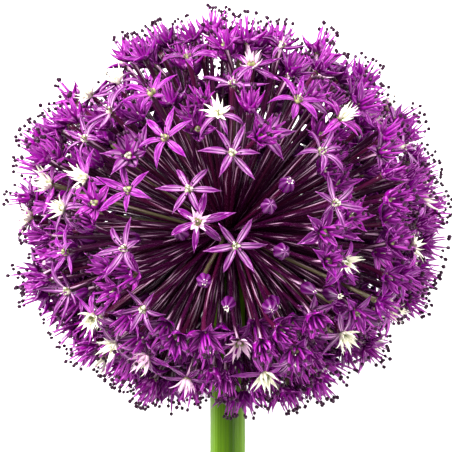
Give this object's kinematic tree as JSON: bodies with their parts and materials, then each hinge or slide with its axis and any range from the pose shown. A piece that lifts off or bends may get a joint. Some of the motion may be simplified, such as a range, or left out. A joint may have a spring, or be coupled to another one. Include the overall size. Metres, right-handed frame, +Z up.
{
  "type": "allium flower head",
  "caption": "Round purple allium flower head on its cut green stalk, lying down, with star florets on straight stems that spread from a small receptacle.",
  "frame": {"origin": "on the surface it lies on, under the middle of the whole flower's box", "axes": "+Z up from the surface, +Y from the stalk's cut end towards the head, +X to the right when looking along +Y"},
  "size_m": [0.1582, 0.2716, 0.1566],
  "materials": {
    "stalk": "satin",
    "floret": "satin"
  },
  "bodies": {
    "root": {"scape": "stalk", "floret_cluster_01": "floret", "floret_cluster_02": "floret", "floret_cluster_03": "floret", "floret_cluster_04": "floret", "floret_cluster_05": "floret", "floret_cluster_06": "floret", "floret_cluster_07": "floret", "floret_cluster_08": "floret", "floret_cluster_09": "floret", "floret_cluster_10": "floret", "floret_cluster_11": "floret", "floret_cluster_12": "floret", "floret_cluster_13": "floret", "floret_cluster_14": "floret", "floret_cluster_15": "floret", "floret_cluster_16": "floret", "floret_cluster_17": "floret", "floret_cluster_18": "floret", "floret_cluster_19": "floret", "floret_cluster_20": "floret", "floret_cluster_21": "floret", "floret_cluster_22": "floret", "floret_cluster_23": "floret", "floret_cluster_24": "floret", "floret_cluster_25": "floret", "floret_cluster_26": "floret", "floret_cluster_27": "floret", "floret_cluster_28": "floret", "floret_cluster_29": "floret", "floret_cluster_30": "floret", "floret_cluster_31": "floret", "floret_cluster_32": "floret", "floret_cluster_33": "floret", "floret_cluster_34": "floret", "floret_cluster_35": "floret", "floret_cluster_36": "floret", "floret_cluster_37": "floret", "floret_cluster_38": "floret", "floret_cluster_39": "floret", "floret_cluster_40": "floret", "floret_cluster_41": "floret", "floret_cluster_42": "floret", "floret_cluster_43": "floret", "floret_cluster_44": "floret", "floret_cluster_45": "floret", "floret_cluster_46": "floret", "floret_cluster_47": "floret", "floret_cluster_48": "floret", "floret_cluster_49": "floret", "floret_cluster_50": "floret", "floret_cluster_51": "floret", "floret_cluster_52": "floret"}
  },
  "joints": []
}
